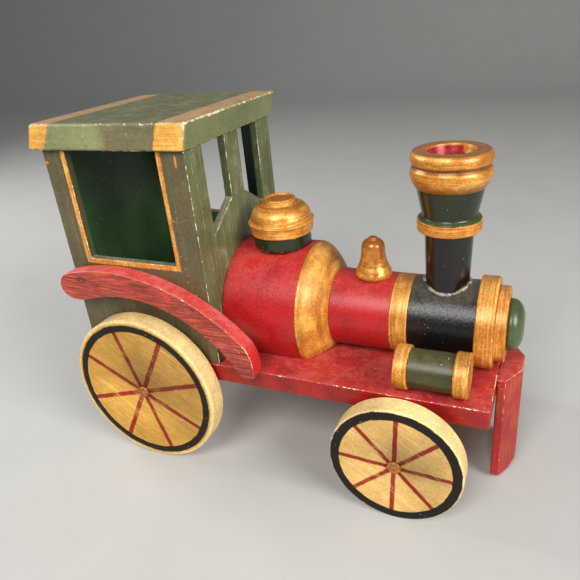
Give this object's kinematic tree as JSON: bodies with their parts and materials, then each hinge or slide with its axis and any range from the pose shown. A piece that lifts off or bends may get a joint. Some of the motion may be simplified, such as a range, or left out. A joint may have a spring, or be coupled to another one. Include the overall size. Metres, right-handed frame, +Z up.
{
  "type": "toy train locomotive",
  "caption": "Painted wooden toy steam locomotive with open cab, firebox and boiler, flared chimney, dome, bell, steam cylinders, fenders, cowcatcher and rolling disc wheels.",
  "frame": {"origin": "on the floor under the middle of the object: x at half its length, y on its centre plane, z where the wheels touch", "axes": "+X forward, towards the cowcatcher; +Y to the locomotive's left; +Z up"},
  "size_m": [0.2274, 0.114, 0.1781],
  "materials": {
    "red_paint": "satin brushed enamel paint over wood",
    "green_paint": "dull olive green enamel paint over wood",
    "roof_paint": "dull grey-green enamel paint with gold cross bands over wood",
    "gold_paint": "brushed bronze-gold paint over wood",
    "black_paint": "satin black enamel paint over wood",
    "black_gloss": "glossy black enamel paint over wood",
    "wheel_paint": "ochre painted face with a black ring and red spokes, bare pale tread",
    "bare_wood": "unpainted softwood",
    "axle_wood": "unpainted dowel with gold-brown painted ends"
  },
  "bodies": {
    "chassis": {"running_board": "red_paint", "rear_axle_block": "bare_wood", "front_axle_block": "bare_wood", "cowcatcher": "red_paint", "cowcatcher_peg_1": "bare_wood", "cowcatcher_peg_2": "bare_wood", "firebox_drum": "red_paint", "firebox_shoulder": "gold_paint", "boiler_barrel": "red_paint", "boiler_band": "gold_paint", "smokebox": "black_paint", "smokebox_ring": "gold_paint", "smokebox_door": "gold_paint", "nose_button": "green_paint", "boiler_core_dowel": "bare_wood", "chimney_tube": "black_gloss", "chimney_collar": "gold_paint", "chimney_flare": "green_paint", "chimney_crown": "gold_paint", "dome_base": "green_paint", "steam_dome": "gold_paint", "bell": "gold_paint", "cylinder_right_barrel": "green_paint", "cylinder_right_rear_cap": "gold_paint", "cylinder_right_front_cap": "gold_paint", "cylinder_left_barrel": "green_paint", "cylinder_left_rear_cap": "gold_paint", "cylinder_left_front_cap": "gold_paint", "cab_wall_right": "green_paint", "cab_wall_left": "green_paint", "cab_front_wall": "green_paint", "cab_rear_wall": "green_paint", "cab_roof": "roof_paint", "fender_right": "red_paint", "fender_left": "red_paint"},
    "rear_wheelset": {"rear_axle": "axle_wood", "rear_wheel_right": "wheel_paint", "rear_wheel_left": "wheel_paint"},
    "front_wheelset": {"front_axle": "axle_wood", "front_wheel_right": "wheel_paint", "front_wheel_left": "wheel_paint"}
  },
  "joints": [
    {"name": "rear_axle_roll", "type": "hinge", "parent": "chassis", "child": "rear_wheelset", "pos_m": [-0.06905, 0, 0.042], "axis": [0, 1, 0], "continuous": true},
    {"name": "front_axle_roll", "type": "hinge", "parent": "chassis", "child": "front_wheelset", "pos_m": [0.06535, 0, 0.0304], "axis": [0, 1, 0], "continuous": true}
  ]
}
